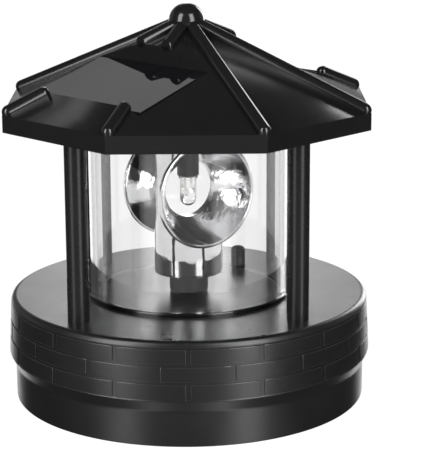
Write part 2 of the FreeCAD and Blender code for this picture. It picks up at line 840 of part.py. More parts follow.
def make_battery_door():
    body = door_outline(0, cover_low_z, cover_low_z + door_thickness)
    cuts = [rod(screw_radius + loose_fit, 0, cover_top_z, door_ear_x(), cell_y)]
    half_length, half_width = tray_room()
    for k in range(5):
        x = -half_length + 3.0 + 2.0 * k
        cuts.append(block((x, x + 0.8), (cell_y - 5, cell_y + 5), (0, cover_low_z + 0.4)))
    return without(body, cuts)


def make_battery_cell():
    start = vec(-cell_length / 2.0, cell_y, cell_z)
    body = Part.makeCylinder(cell_radius, cell_length, start, vec(1, 0, 0))
    nub_start = vec(cell_length / 2.0, cell_y, cell_z)
    nub = Part.makeCylinder(cell_nub_radius, cell_nub_length, nub_start, vec(1, 0, 0))
    return fused([body, nub])


def contact_leaf(x):
    half = contact_width / 2.0
    low_z = cell_z - contact_height / 2.0
    return block((x, x + contact_thickness), (cell_y - half, cell_y + half), (low_z, low_z + contact_height))


def make_contact_plate():
    half_length, half_width = tray_room()
    leaf = contact_leaf(half_length - contact_thickness)
    reach = half_length - contact_thickness - cell_length / 2.0 - cell_nub_length
    dimple = Part.makeCone(contact_dimple_radius, 0.6 * contact_dimple_radius, reach,
                           vec(half_length - contact_thickness, cell_y, cell_z), vec(-1, 0, 0))
    return fused([leaf, dimple])


def make_contact_spring():
    """Leaf with a bowed strip that presses on the flat end of the cell."""
    half_length, half_width = tray_room()
    leaf = contact_leaf(-half_length)
    reach = half_length - cell_length / 2.0 - contact_thickness
    half = bow_half_height
    foot = 1.5 * contact_thickness
    y = cell_y - bow_width / 2.0
    outer = Part.Arc(vec(0, y, -half), vec(reach, y, 0), vec(0, y, half))
    inner = Part.Arc(vec(0, y, foot - half), vec(reach - contact_thickness, y, 0), vec(0, y, half - foot))
    top = Part.LineSegment(vec(0, y, half), vec(0, y, half - foot))
    bottom = Part.LineSegment(vec(0, y, foot - half), vec(0, y, -half))
    outline = Part.Wire(Part.sortEdges([edge.toShape() for edge in (outer, top, inner, bottom)])[0])
    bow = Part.Face(outline).extrude(vec(0, bow_width, 0))
    bow.translate(vec(-half_length + contact_thickness, 0, cell_z))
    return fused([leaf, bow])


# ---- board, switch and button ----
def make_circuit_board():
    low_z = board_top_z - board_thickness
    body = block(board_x, board_y, (low_z, board_top_z))
    cuts = [rod(small_screw_radius + loose_fit, 0, deck_z, x, y) for x, y in board_posts]
    return without(body, cuts)


def make_board_parts():
    """Driver chip, choke, capacitor and two resistors on the board's lower side."""
    low_z = board_top_z - board_thickness
    middle_x = (board_x[0] + board_x[1]) / 2.0
    middle_y = (board_y[0] + board_y[1]) / 2.0
    chip = below_board(chip_size, middle_x - chip_size[0] / 2.0, middle_y - 1.5 * chip_size[1])
    choke_x = board_x[1] - 2 * choke_radius
    choke = rod(choke_radius, low_z - choke_height, low_z, choke_x, board_y[0] + 2 * choke_radius)
    capacitor = rod(capacitor_radius, low_z - capacitor_height, low_z, board_x[0] + 2 * capacitor_radius,
                    middle_y + capacitor_radius)
    resistors = [below_board(resistor_size, middle_x - resistor_size[0], middle_y + 2 * k * resistor_size[1])
                 for k in range(2)]
    return Part.Compound([chip, choke, capacitor] + resistors)


def below_board(size, x, y):
    low_z = board_top_z - board_thickness
    return block((x, x + size[0]), (y, y + size[1]), (low_z - size[2], low_z))


def make_push_switch():
    half = switch_size / 2.0
    top_z = board_top_z + switch_height
    body = block((button_x - half, button_x + half), (button_y - half, button_y + half), (board_top_z, top_z))
    well_z = plunger_top_z - plunger_sink - button_travel - 3.0
    return body.cut(rod(plunger_radius + button_fit, well_z, deck_z, button_x, button_y))


def make_switch_plunger():
    return rod(plunger_radius, plunger_top_z - plunger_sink - 3.0, plunger_top_z, button_x, button_y)


def make_button_cap():
    """Domed rubber cap on a stem, kept in by a flange under the deck."""
    dome_z = button_top_z - button_dome
    mid = (0.8 * button_radius, dome_z + 0.7 * button_dome)
    flange_top = deck_low_z - fit
    flange_low = flange_top - button_flange_height
    body = turned((0, plunger_top_z), (button_radius, plunger_top_z), (button_radius, flange_low),
                  (button_flange_radius, flange_low), (button_flange_radius, flange_top),
                  (button_radius, flange_top), (button_radius, dome_z),
                  (mid, (0.35 * button_radius, button_top_z)), (0, button_top_z))
    body.translate(vec(button_x, button_y, 0))
    return body


# ---- screw groups ----
def make_cover_screws():
    return Part.Compound([screw(x, y, cover_low_z + cover_head_recess, long_screw_length, True)
                          for x, y in cover_screw_places])


def make_door_screw():
    return screw(door_ear_x(), cell_y, cover_low_z, door_screw_length, True)


def make_plate_screws():
    return Part.Compound([screw(x, y, plate_low_z, long_screw_length, True) for x, y in plate_points])


def make_motor_screws():
    return Part.Compound([screw(x, y, plate_top_z, motor_screw_length, False, small_screw_radius,
                                small_head_radius) for x, y in motor_screw_places()])


def make_board_screws():
    low_z = board_top_z - board_thickness
    return Part.Compound([screw(x, y, low_z, board_screw_length, True, small_screw_radius,
                                small_head_radius) for x, y in board_posts])


def make_column_screws():
    lower = [screw(x, y, deck_low_z, long_screw_length, True) for x, y in column_places()]
    upper = [screw(x, y, ceiling_top_z, long_screw_length, False) for x, y in column_places()]
    return Part.Compound(lower + upper)


def make_roof_screws():
    places = [at_azimuth(roof_screw_radius, azimuth) for azimuth in roof_screw_azimuths]
    return Part.Compound([screw(x, y, ceiling_low_z, roof_screw_length, True) for x, y in places])


def build_parts():
    parts = {
        "base_housing": make_base_housing(),
        "foot_ring": make_foot_ring(),
        "lens_tube": make_lens_tube(),
        "roof_shell": make_roof_shell(),
        "ceiling_plate": make_ceiling_plate(),
        "lamp_post": make_lamp_post(),
        "lamp_body": make_lamp(),
        "lamp_leads": make_lamp_leads(),
        "reflector": make_reflector(),
        "drive_hub": make_drive_hub(),
        "rotor_shaft": make_rotor_shaft(),
        "shaft_bush": make_shaft_bush(),
        "output_gear": make_output_gear(),
        "idler_gear": make_idler_gear(),
        "idler_pin": make_idler_pin(),
        "motor_pinion": make_motor_pinion(),
        "motor_shaft": make_motor_shaft(),
        "motor_can": make_motor_can(),
        "gear_plate": make_gear_plate(),
        "bottom_cover": make_bottom_cover(),
        "battery_door": make_battery_door(),
        "battery_cell": make_battery_cell(),
        "contact_plate": make_contact_plate(),
        "contact_spring": make_contact_spring(),
        "circuit_board": make_circuit_board(),
        "board_parts": make_board_parts(),
        "push_switch": make_push_switch(),
        "switch_plunger": make_switch_plunger(),
        "button_cap": make_button_cap(),
        "cover_screws": make_cover_screws(),
        "door_screw": make_door_screw(),
        "plate_screws": make_plate_screws(),
        "motor_screws": make_motor_screws(),
        "board_screws": make_board_screws(),
        "column_screws": make_column_screws(),
        "roof_screws": make_roof_screws(),
    }
    column_names = ("column_front_right", "column_back_right", "column_back_left", "column_front_left")
    for name, (x, y) in zip(column_names, column_places()):
        parts[name] = make_column(x, y)
    for name, azimuth in zip(("solar_panel_front", "solar_panel_back"), panel_azimuths):
        parts[name] = make_solar_panel(azimuth)
    return parts


os.makedirs("parts", exist_ok=True)
for node, shape in build_parts().items():
    shape.exportStep("parts/" + node + ".step")
    print(node, len(shape.Solids), shape.isValid(), round(shape.Volume, 1))
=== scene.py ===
import math
import bmesh
import bpy
from mathutils import Matrix, Vector


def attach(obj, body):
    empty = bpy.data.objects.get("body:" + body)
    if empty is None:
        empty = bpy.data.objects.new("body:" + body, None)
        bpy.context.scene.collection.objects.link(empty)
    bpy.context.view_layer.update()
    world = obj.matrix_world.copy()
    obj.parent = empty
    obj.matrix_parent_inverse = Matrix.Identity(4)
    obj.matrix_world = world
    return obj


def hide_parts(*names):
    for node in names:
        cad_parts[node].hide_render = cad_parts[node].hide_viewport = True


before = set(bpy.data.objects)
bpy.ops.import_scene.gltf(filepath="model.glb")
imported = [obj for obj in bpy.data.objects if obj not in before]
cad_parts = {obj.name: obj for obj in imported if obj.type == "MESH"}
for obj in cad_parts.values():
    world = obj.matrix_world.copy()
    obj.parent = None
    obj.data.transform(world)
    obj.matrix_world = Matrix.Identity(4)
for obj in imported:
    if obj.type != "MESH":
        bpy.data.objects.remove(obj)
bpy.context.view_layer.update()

mm = 0.001          # shapes are drawn in millimetres and brought to metres when finished
weld = 0.0001       # vertices nearer than this become one
scene = bpy.context.scene


def aroundAxis(radius, azimuth):
    # azimuth runs from the front (-Y) towards +X
    turn = math.radians(azimuth)
    return radius * math.sin(turn), -radius * math.cos(turn)


def softCorners(points, radius, steps=3, closed=True):
    # the outline with each real corner cut back and rounded
    rounded = []
    count = len(points)
    for i, here in enumerate(points):
        if not closed and i in (0, count - 1):
            rounded.append(here)
            continue
        size = here[2] if len(here) > 2 else radius
        before = Vector(points[i - 1][:2])
        after = Vector(points[(i + 1) % count][:2])
        corner = Vector(here[:2])
        size = min(size, 0.45 * (corner - before).length, 0.45 * (after - corner).length)
        if size <= 0.001:
            rounded.append((corner.x, corner.y))
            continue
        start = corner + (before - corner).normalized() * size
        end = corner + (after - corner).normalized() * size
        for k in range(steps + 1):
            t = k / steps
            p = start * (1 - t) ** 2 + corner * 2 * t * (1 - t) + end * t ** 2
            rounded.append((p.x, p.y))
    return rounded


def lathe(points, steps, closed=True):
    # (radius, height) outline spun about Z; an open outline starts and ends on the axis
    bm = bmesh.new()
    verts = [bm.verts.new((r, 0, z)) for r, z in points]
    edges = [bm.edges.new((a, b)) for a, b in zip(verts, verts[1:])]
    if closed:
        edges.append(bm.edges.new((verts[-1], verts[0])))
    bmesh.ops.spin(bm, geom=verts + edges, cent=(0, 0, 0), axis=(0, 0, 1), angle=2 * math.pi,
                   steps=steps, use_merge=True)
    bmesh.ops.remove_doubles(bm, verts=bm.verts, dist=weld)
    bmesh.ops.dissolve_degenerate(bm, edges=bm.edges, dist=weld / 10)
    bmesh.ops.recalc_face_normals(bm, faces=bm.faces)
    return bm


def quarterAngles(steps):
    return [0.5 * math.pi * k / steps for k in range(steps + 1)]


def softBox(size, centre, edge):
    bm = bmesh.new()
    bmesh.ops.create_cube(bm, size=1.0)
    bmesh.ops.scale(bm, vec=size, verts=bm.verts)
    bmesh.ops.bevel(bm, geom=bm.edges[:], offset=edge, segments=2, affect="EDGES", profile=0.5,
                    material=-1, clamp_overlap=True)
    bmesh.ops.translate(bm, vec=centre, verts=bm.verts)
    return bm


def moved(bm, matrix):
    bmesh.ops.transform(bm, matrix=matrix, verts=bm.verts)
    return bm


def turned(azimuth):
    # turns +X towards an azimuth
    return Matrix.Rotation(math.radians(azimuth - 90), 4, "Z")


def together(parts):
    # several closed shapes in one bmesh
    whole = bmesh.new()
    for bm in parts:
        mesh = bpy.data.meshes.new("part")
        bm.to_mesh(mesh)
        bm.free()
        whole.from_mesh(mesh)
        bpy.data.meshes.remove(mesh)
    return whole


def combined(bm, other, operation):
    # exact boolean of two closed shapes; both are used up
    pair = []
    for source in (bm, other):
        mesh = bpy.data.meshes.new("part")
        source.to_mesh(mesh)
        source.free()
        obj = bpy.data.objects.new("part", mesh)
        scene.collection.objects.link(obj)
        pair.append(obj)
    kept, tool = pair
    cut = kept.modifiers.new("cut", "BOOLEAN")
    cut.operation = operation
    cut.solver = "EXACT"
    cut.object = tool
    bpy.context.view_layer.update()
    result = bmesh.new()
    result.from_object(kept, bpy.context.evaluated_depsgraph_get())
    for obj in pair:
        mesh = obj.data
        bpy.data.objects.remove(obj)
        bpy.data.meshes.remove(mesh)
    bmesh.ops.remove_doubles(result, verts=result.verts, dist=weld)
    return result


def easeEdges(bm, width, minAngle, finish=-1):
    # a small round on each sharp edge, as a mould leaves; finish numbers the material of the round
    sharp = [e for e in bm.edges if len(e.link_faces) == 2 and e.calc_face_angle() > math.radians(minAngle)]
    bmesh.ops.bevel(bm, geom=sharp, offset=width, segments=2, affect="EDGES", profile=0.5,
                    material=finish, clamp_overlap=True)


def makePiece(name, bm, material, body, nodes, sharpAngle=35, extra=()):
    # a finished mesh in metres, riding its body and standing in for its CAD nodes
    bmesh.ops.scale(bm, vec=(mm, mm, mm), verts=bm.verts)
    mesh = bpy.data.meshes.new(name)
    bm.to_mesh(mesh)
    bm.free()
    mesh.shade_smooth()
    mesh.set_sharp_from_angle(angle=math.radians(sharpAngle))
    piece = bpy.data.objects.new(name, mesh)
    scene.collection.objects.link(piece)
    for finish in (material, *extra):
        mesh.materials.append(finish)
    even = piece.modifiers.new("evenShading", "WEIGHTED_NORMAL")
    even.keep_sharp = True
    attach(piece, body)
    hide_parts(*nodes)
    return piece


def blankMaterial(name):
    material = bpy.data.materials.new(name)
    material.use_nodes = True
    tree = material.node_tree
    shader = tree.nodes["Principled BSDF"]
    coords = tree.nodes.new("ShaderNodeTexCoord")
    return material, tree, shader, coords


def noiseOn(tree, coords, scale, detail, rough=0.5):
    noise = tree.nodes.new("ShaderNodeTexNoise")
    noise.inputs["Scale"].default_value = scale
    noise.inputs["Detail"].default_value = detail
    noise.inputs["Roughness"].default_value = rough
    tree.links.new(coords.outputs["Object"], noise.inputs["Vector"])
    return noise


def calculated(tree, operation, *values):
    # a Math node on numbers or on other nodes' outputs
    node = tree.nodes.new("ShaderNodeMath")
    node.operation = operation
    for socket, value in zip(node.inputs, values):
        if isinstance(value, (int, float)):
            socket.default_value = value
        else:
            tree.links.new(value, socket)
    return node.outputs[0]


def ranged(tree, value, edges, low=0.0, high=1.0, easing="LINEAR"):
    # from low to high as the value passes between the two edges
    span = tree.nodes.new("ShaderNodeMapRange")
    span.interpolation_type = easing
    span.inputs["From Min"].default_value, span.inputs["From Max"].default_value = edges
    span.inputs["To Min"].default_value = low
    span.inputs["To Max"].default_value = high
    tree.links.new(value, span.inputs["Value"])
    return span.outputs["Result"]


def tint(tree, factor, first, second, edges=(0.35, 0.65)):
    ramp = tree.nodes.new("ShaderNodeValToRGB")
    for stop, place, colour in zip(ramp.color_ramp.elements, edges, (first, second)):
        stop.position = place
        stop.color = (*colour, 1)
    tree.links.new(factor, ramp.inputs["Fac"])
    return ramp.outputs["Color"]


def raised(tree, shader, height, strength, depth):
    bump = tree.nodes.new("ShaderNodeBump")
    bump.inputs["Strength"].default_value = strength
    bump.inputs["Distance"].default_value = depth
    tree.links.new(height, bump.inputs["Height"])
    tree.links.new(bump.outputs["Normal"], shader.inputs["Normal"])


def cloudyColour(tree, shader, clouds, first, second):
    tree.links.new(tint(tree, clouds.outputs["Fac"], first, second), shader.inputs["Base Color"])


def cloudyGloss(tree, shader, clouds, roughLow, roughHigh):
    # most of a noise's values lie between 0.3 and 0.7
    gloss = ranged(tree, clouds.outputs["Fac"], (0.3, 0.7), roughLow, roughHigh)
    tree.links.new(gloss, shader.inputs["Roughness"])


moulded = {"cloudScale": 42.0, "lighter": 1.25, "smearScale": 90.0, "grainDepth": 0.00004}


def mouldedPlastic(name, shade, roughLow, roughHigh, grain=0.1, grainScale=2600.0, ior=1.5):
    # cloudy sheen, faint tone change, and the mould's fine grain
    material, tree, shader, coords = blankMaterial(name)
    clouds = noiseOn(tree, coords, moulded["cloudScale"], detail=3.0)
    cloudyColour(tree, shader, clouds, shade, tuple(c * moulded["lighter"] for c in shade))
    smears = noiseOn(tree, coords, moulded["smearScale"], detail=5.0, rough=0.6)
    cloudyGloss(tree, shader, smears, roughLow, roughHigh)
    if grain:
        fine = noiseOn(tree, coords, grainScale, detail=2.0)
        raised(tree, shader, fine.outputs["Fac"], grain, moulded["grainDepth"])
    shader.inputs["IOR"].default_value = ior
    return material


clear = {"facing": (0.965, 0.965, 0.965), "edgeOn": (0.66, 0.66, 0.66), "blend": 0.35,
         "between": (0.25, 0.8), "waveScale": 55.0, "waveDepth": 0.0002}


def clearPlastic(name, ior, roughness, ripple):
    # clear moulding, which takes more from the light where its wall is seen edge-on
    material, tree, shader, coords = blankMaterial(name)
    slant = tree.nodes.new("ShaderNodeLayerWeight")
    slant.inputs["Blend"].default_value = clear["blend"]
    colour = tint(tree, slant.outputs["Facing"], clear["facing"], clear["edgeOn"], clear["between"])
    tree.links.new(colour, shader.inputs["Base Color"])
    shader.inputs["Transmission Weight"].default_value = 1.0
    shader.inputs["Roughness"].default_value = roughness
    shader.inputs["IOR"].default_value = ior
    drawn = noiseOn(tree, coords, clear["waveScale"], detail=2.0)
    raised(tree, shader, drawn.outputs["Fac"], ripple, clear["waveDepth"])
    return material


mirror = {"cloudScale": 150.0, "darker": 0.88, "waveDepth": 0.0004}
creased = {"heights": (0.047, 0.056), "scale": 210.0, "detail": 4.0, "rough": 0.6, "twist": 2.4,
           "share": 1.5}


def mirrorMetal(name, shade, roughLow, roughHigh, ripple, rippleScale, creasedHeights=None):
    # mirror bright, with the slow waves of what lies under the metal; with creasedHeights it is calm
    # below the first height and finely creased above the second, as a deep dish comes off its tool
    material, tree, shader, coords = blankMaterial(name)
    shader.inputs["Metallic"].default_value = 1.0
    clouds = noiseOn(tree, coords, mirror["cloudScale"], detail=4.0)
    cloudyColour(tree, shader, clouds, tuple(c * mirror["darker"] for c in shade), shade)
    cloudyGloss(tree, shader, clouds, roughLow, roughHigh)
    waves = noiseOn(tree, coords, rippleScale, detail=2.0)
    height = waves.outputs["Fac"]
    if creasedHeights:
        split = tree.nodes.new("ShaderNodeSeparateXYZ")
        tree.links.new(coords.outputs["Object"], split.inputs["Vector"])
        creases = noiseOn(tree, coords, creased["scale"], creased["detail"], creased["rough"])
        creases.inputs["Distortion"].default_value = creased["twist"]
        share = ranged(tree, split.outputs["Z"], creasedHeights)
        crease = calculated(tree, "MULTIPLY", creases.outputs["Fac"], share)
        height = calculated(tree, "MULTIPLY_ADD", crease, creased["share"], height)
    raised(tree, shader, height, ripple, mirror["waveDepth"])
    return material


lathed = {"stainScale": 160.0, "darker": 0.8, "lineScale": 900.0, "lineStrength": 0.15, "lineDepth": 0.00003}


def turnedMetal(name, shade, roughLow, roughHigh):
    # faint stains, and the fine lines that a lathe leaves
    material, tree, shader, coords = blankMaterial(name)
    shader.inputs["Metallic"].default_value = 1.0
    stains = noiseOn(tree, coords, lathed["stainScale"], detail=4.0)
    cloudyColour(tree, shader, stains, tuple(c * lathed["darker"] for c in shade), shade)
    cloudyGloss(tree, shader, stains, roughLow, roughHigh)
    lines = tree.nodes.new("ShaderNodeTexWave")
    lines.bands_direction = "Z"
    lines.inputs["Scale"].default_value = lathed["lineScale"]
    tree.links.new(coords.outputs["Object"], lines.inputs["Vector"])
    raised(tree, shader, lines.outputs["Fac"], lathed["lineStrength"], lathed["lineDepth"])
    return material


cells = {"dark": (0.005, 0.005, 0.006), "light": (0.0065, 0.0065, 0.0078), "crystalScale": 700.0,
         "finger": (0.009, 0.009, 0.0105, 1), "fingerPitch": 0.00115, "fingerWidth": 0.00012,
         "gap": (0.003, 0.003, 0.0035, 1), "cellPitch": 0.0112, "gapWidth": 0.0005,
         "resinRough": 0.035, "resinIor": 1.54, "waveScale": 60.0, "wave": 0.05, "waveDepth": 0.0003}


def solarCells(name, lean):
    # dark cells with faint fingers and gaps under clear resin; lean turns the pattern onto its panel
    material, tree, shader, coords = blankMaterial(name)
    turn = tree.nodes.new("ShaderNodeMapping")
    turn.inputs["Rotation"].default_value[2] = lean
    tree.links.new(coords.outputs["Object"], turn.inputs["Vector"])
    split = tree.nodes.new("ShaderNodeSeparateXYZ")
    tree.links.new(turn.outputs["Vector"], split.inputs["Vector"])

    def stripe(pitch, width, offset):
        # 1 on a line of the given width, repeated at the pitch
        shifted = calculated(tree, "ADD", split.outputs["Y"], offset)
        wrapped = calculated(tree, "WRAP", shifted, pitch / 2, -pitch / 2)
        return calculated(tree, "LESS_THAN", calculated(tree, "ABSOLUTE", wrapped), width / 2)

    def drawnOver(under, line, colour):
        # a colour Mix node has its factor at 0, its two colours at 6 and 7 and its result at 2
        mix = tree.nodes.new("ShaderNodeMix")
        mix.data_type = "RGBA"
        tree.links.new(line, mix.inputs[0])
        tree.links.new(under, mix.inputs[6])
        mix.inputs[7].default_value = colour
        return mix.outputs[2]

    crystals = noiseOn(tree, coords, cells["crystalScale"], detail=2.0, rough=0.4)
    silicon = tint(tree, crystals.outputs["Fac"], cells["dark"], cells["light"])
    fingers = drawnOver(silicon, stripe(cells["fingerPitch"], cells["fingerWidth"], 0.0), cells["finger"])
    between = stripe(cells["cellPitch"], cells["gapWidth"], cells["cellPitch"] / 2)
    gaps = drawnOver(fingers, between, cells["gap"])
    tree.links.new(gaps, shader.inputs["Base Color"])
    shader.inputs["Roughness"].default_value = cells["resinRough"]
    shader.inputs["IOR"].default_value = cells["resinIor"]
    waves = noiseOn(tree, coords, cells["waveScale"], detail=2.0)
    raised(tree, shader, waves.outputs["Fac"], cells["wave"], cells["waveDepth"])
    return material


# name, colour, lowest and highest roughness; for plastics then the strength and scale of the grain
roofPlastic = mouldedPlastic("roofPlastic", (0.0065, 0.0065, 0.0069), 0.14, 0.19, 0.03)
sidePlastic = mouldedPlastic("sidePlastic", (0.0065, 0.0065, 0.0069), 0.28, 0.35, 0.04)
deckPlastic = mouldedPlastic("deckPlastic", (0.008, 0.008, 0.0084), 0.27, 0.32, 0.0)
# the rounds on the brick edges are about three times lighter than the side plastic: a painted highlight along
# each edge
edgeHighlightPlastic = mouldedPlastic("edgeHighlightPlastic", (0.02, 0.02, 0.0205), 0.12, 0.3, 0.1, 1400.0)
columnPlastic = mouldedPlastic("columnPlastic", (0.0075, 0.0075, 0.008), 0.24, 0.30, 0.03, ior=1.4)
postPlastic = mouldedPlastic("postPlastic", (0.0045, 0.0045, 0.0048), 0.28, 0.36, 0.04, ior=1.36)
coverPlastic = mouldedPlastic("coverPlastic", (0.018, 0.018, 0.0185), 0.5, 0.6, 0.5, 900.0)
ringRubber = mouldedPlastic("ringRubber", (0.004, 0.004, 0.004), 0.10, 0.15, 0.02)
buttonRubber = mouldedPlastic("buttonRubber", (0.022, 0.021, 0.0205), 0.55, 0.68, 0.3, 1500.0)
gearAcetal = mouldedPlastic("gearAcetal", (0.74, 0.74, 0.70), 0.42, 0.5)
switchPlastic = mouldedPlastic("switchPlastic", (0.02, 0.02, 0.02), 0.45, 0.55)
cellSleeve = mouldedPlastic("cellSleeve", (0.05, 0.2, 0.07), 0.25, 0.35, 0.05)
boardLacquer = mouldedPlastic("boardLacquer", (0.015, 0.11, 0.04), 0.25, 0.35)
# refraction, roughness and strength of the waves
tubePlastic = clearPlastic("tubePlastic", 1.49, 0.0, 0.04)
lampResin = clearPlastic("lampResin", 1.53, 0.01, 0.05)
# colour, lowest and highest roughness, strength and scale of the waves
reflectorChrome = mirrorMetal("reflectorChrome", (0.76, 0.76, 0.77), 0.02, 0.08, 0.2, 170.0,
                              creased["heights"])
leadMetal = mirrorMetal("leadMetal", (0.75, 0.74, 0.72), 0.18, 0.28, 0.1, 900.0)
# colour, lowest and highest roughness
groundSteel = turnedMetal("groundSteel", (0.62, 0.62, 0.63), 0.22, 0.3)
platedSteel = turnedMetal("platedSteel", (0.5, 0.5, 0.49), 0.28, 0.4)
turnedBrass = turnedMetal("turnedBrass", (0.72, 0.52, 0.22), 0.2, 0.32)
print("finishes made")


base = {"spigotRadius": 53.3, "spigotHeight": 10.5, "bandLowZ": 14.3, "bandLowRadius": 55.1,
        "bandTopZ": 29.6, "bandTopRadius": 54.3, "deckZ": 31.46, "deckFlatRadius": 52.9, "wall": 2.0,
        "deckThickness": 2.2, "relief": 0.32, "rows": 3, "bricksPerRow": 16, "courseGap": 0.7,
        "jointGap": 1.25, "middleRowShift": 13.5, "brickEdge": 0.2, "easeAngle": 45, "brickSunk": 0.35,
        "brickSteps": 8, "boreRadius": 4.05, "footIn": 0.3, "footDrop": 0.25, "footRise": 0.15,
        "topStep": 0.12, "topIn": 0.02, "topRise": 0.25, "roundIn": 0.45, "roundDrop": 0.5,
        "levelNormal": 0.97, "levelDrop": 0.2, "steps": 180}
baseFinishes = {"side": sidePlastic, "deck": deckPlastic, "brickEdge": edgeHighlightPlastic}


def bandRadius(z):
    share = (z - base["bandLowZ"]) / (base["bandTopZ"] - base["bandLowZ"])
    return base["bandLowRadius"] + share * (base["bandTopRadius"] - base["bandLowRadius"])


def housingBody():
    half = base["courseGap"] / 2
    inset = base["relief"]
    wall = base["wall"]
    lowZ, topZ, deckZ = base["bandLowZ"], base["bandTopZ"], base["deckZ"]
    underDeck = deckZ - base["deckThickness"]
    chamfer = 0.5 * wall
    outline = [         # radius and height of each corner, and its round
        (base["spigotRadius"] - wall, 0, 0.2), (base["spigotRadius"], 0, 0.5),
        (base["spigotRadius"], base["spigotHeight"], 0.6),
        (base["bandLowRadius"] - inset * base["footIn"], lowZ - base["footDrop"], 0.2),
        (bandRadius(lowZ) - inset, lowZ + base["footRise"], 0),
        (bandRadius(topZ - half) - inset, topZ - half, 0.1),
        (base["bandTopRadius"], topZ - half + base["topStep"], 0.1),
        (base["bandTopRadius"] - base["topIn"], topZ + base["topRise"], 0.5),
        (base["bandTopRadius"] - base["roundIn"], deckZ - base["roundDrop"], 0.55),
        (base["deckFlatRadius"], deckZ, 0.7),
        (base["boreRadius"], deckZ, 0.1), (base["boreRadius"], underDeck, 0),
        (base["bandTopRadius"] - wall, underDeck, 0.4),
        (base["bandLowRadius"] - wall, lowZ + chamfer, 0.4),
        (base["spigotRadius"] - wall, base["spigotHeight"] + chamfer, 0.4)]
    return lathe(softCorners(outline, 0.2), base["steps"])


def brick(row, middle):
    # one raised brick: a short sector of the drafted band with eased edges
    rowHeight = (base["bandTopZ"] - base["bandLowZ"]) / base["rows"]
    lowZ = base["bandLowZ"] + row * rowHeight + (base["courseGap"] / 2 if row else 0.0)
    highZ = base["bandLowZ"] + (row + 1) * rowHeight - base["courseGap"] / 2
    rootDepth = base["relief"] + base["brickSunk"]
    sweep = 2 * math.pi / base["bricksPerRow"] - base["jointGap"] / base["bandTopRadius"]
    bm = bmesh.new()
    corners = [(bandRadius(lowZ) - rootDepth, lowZ), (bandRadius(lowZ), lowZ),
               (bandRadius(highZ), highZ), (bandRadius(highZ) - rootDepth, highZ)]
    verts = [bm.verts.new((r, 0, z)) for r, z in corners]
    face = bm.faces.new(verts)
    bmesh.ops.spin(bm, geom=[face] + verts + face.edges[:], cent=(0, 0, 0), axis=(0, 0, 1), angle=sweep,
                   steps=base["brickSteps"])
    bmesh.ops.recalc_face_normals(bm, faces=bm.faces)
    # the rounds take the lighter edge finish, which paints a highlight along each brick edge
    easeEdges(bm, base["brickEdge"], base["easeAngle"], list(baseFinishes).index("brickEdge"))
    turn = math.radians(middle - 90) - sweep / 2
    return moved(bm, Matrix.Rotation(turn, 4, "Z"))


def makeBase():
    step = 360 / base["bricksPerRow"]
    shapes = [housingBody()]
    for row in range(base["rows"]):
        shift = base["middleRowShift"] if row % 2 else 0.0
        for k in range(base["bricksPerRow"]):
            shapes.append(brick(row, shift + step * (k + 0.5)))
    bm = together(shapes)
    deckLowZ = base["deckZ"] - base["levelDrop"]
    for face in bm.faces:       # the level deck has its own gloss
        if face.normal.z > base["levelNormal"] and face.calc_center_median().z > deckLowZ:
            face.material_index = list(baseFinishes).index("deck")
    finishes = list(baseFinishes.values())
    makePiece("baseHousing", bm, finishes[0], "lantern", ["base_housing"],
              extra=finishes[1:])


makeBase()
print("base made")


tube = {"radius": 29.94, "wall": 2.0, "lowZ": 30.96, "topZ": 85.55, "edge": 0.25, "steps": 192}
ring = {"wall": 1.2, "lowZ": 30.66, "topZ": 32.66, "innerTopZ": 31.44, "floorZ": 30.94, "clear": 0.05,
        "edge": 0.5, "lipStart": 2.0, "lipEnd": -16.0, "lipLeft": 0.02, "steps": 160}
column = {"radius": 3.24, "reach": 44.9, "lowZ": 30.46, "topZ": 86.6, "edge": 0.3, "firstAzimuth": 45,
          "steps": 48}


def makeTube():
    inner = tube["radius"] - tube["wall"]
    outline = [(inner, tube["lowZ"]), (tube["radius"], tube["lowZ"]), (tube["radius"], tube["topZ"]),
               (inner, tube["topZ"])]
    bm = lathe(softCorners(outline, tube["edge"]), tube["steps"])
    piece = makePiece("lensTube", bm, tubePlastic, "lantern", ["lens_tube"])
    piece.visible_shadow = False        # light passes straight through the thin clear wall


def makeFootRing():
    outer = tube["radius"] + ring["wall"]
    inner = tube["radius"] - tube["wall"] - ring["wall"]
    slotOuter = tube["radius"] + ring["clear"]
    slotInner = tube["radius"] - tube["wall"] - ring["clear"]
    outline = [         # radius and height of each corner, and its round
        (inner, ring["lowZ"], 0.1), (outer, ring["lowZ"], 0.1), (outer, ring["topZ"], ring["edge"]),
        (slotOuter, ring["topZ"], 0.12), (slotOuter, ring["floorZ"], 0), (slotInner, ring["floorZ"], 0),
        (slotInner, ring["innerTopZ"], 0.1), (inner, ring["innerTopZ"], 0.1)]
    bm = lathe(softCorners(outline, 0.1, 4), ring["steps"])
    for v in bm.verts:
        # the lip dies away behind the tube, where the deck shows through without a line
        if v.co.z > base["deckZ"]:
            t = min(max((v.co.y - ring["lipStart"]) / (ring["lipEnd"] - ring["lipStart"]), 0.0), 1.0)
            share = ring["lipLeft"] + (1 - ring["lipLeft"]) * t * t * (3 - 2 * t)
            v.co.z = base["deckZ"] + (v.co.z - base["deckZ"]) * share
    makePiece("footRing", bm, ringRubber, "lantern", ["foot_ring"])


def makeColumns():
    corners = ("front_right", "back_right", "back_left", "front_left")
    for k, corner in enumerate(corners):
        x, y = aroundAxis(column["reach"], column["firstAzimuth"] + 90 * k)
        outline = [(0, column["lowZ"]), (column["radius"], column["lowZ"]),
                   (column["radius"], column["topZ"]), (0, column["topZ"])]
        bm = lathe(softCorners(outline, column["edge"], closed=False), column["steps"], closed=False)
        moved(bm, Matrix.Translation((x, y, 0)))
        makePiece("column_" + corner, bm, columnPlastic, "lantern", ["column_" + corner])


makeTube()
makeFootRing()
makeColumns()
print("tube and columns made")


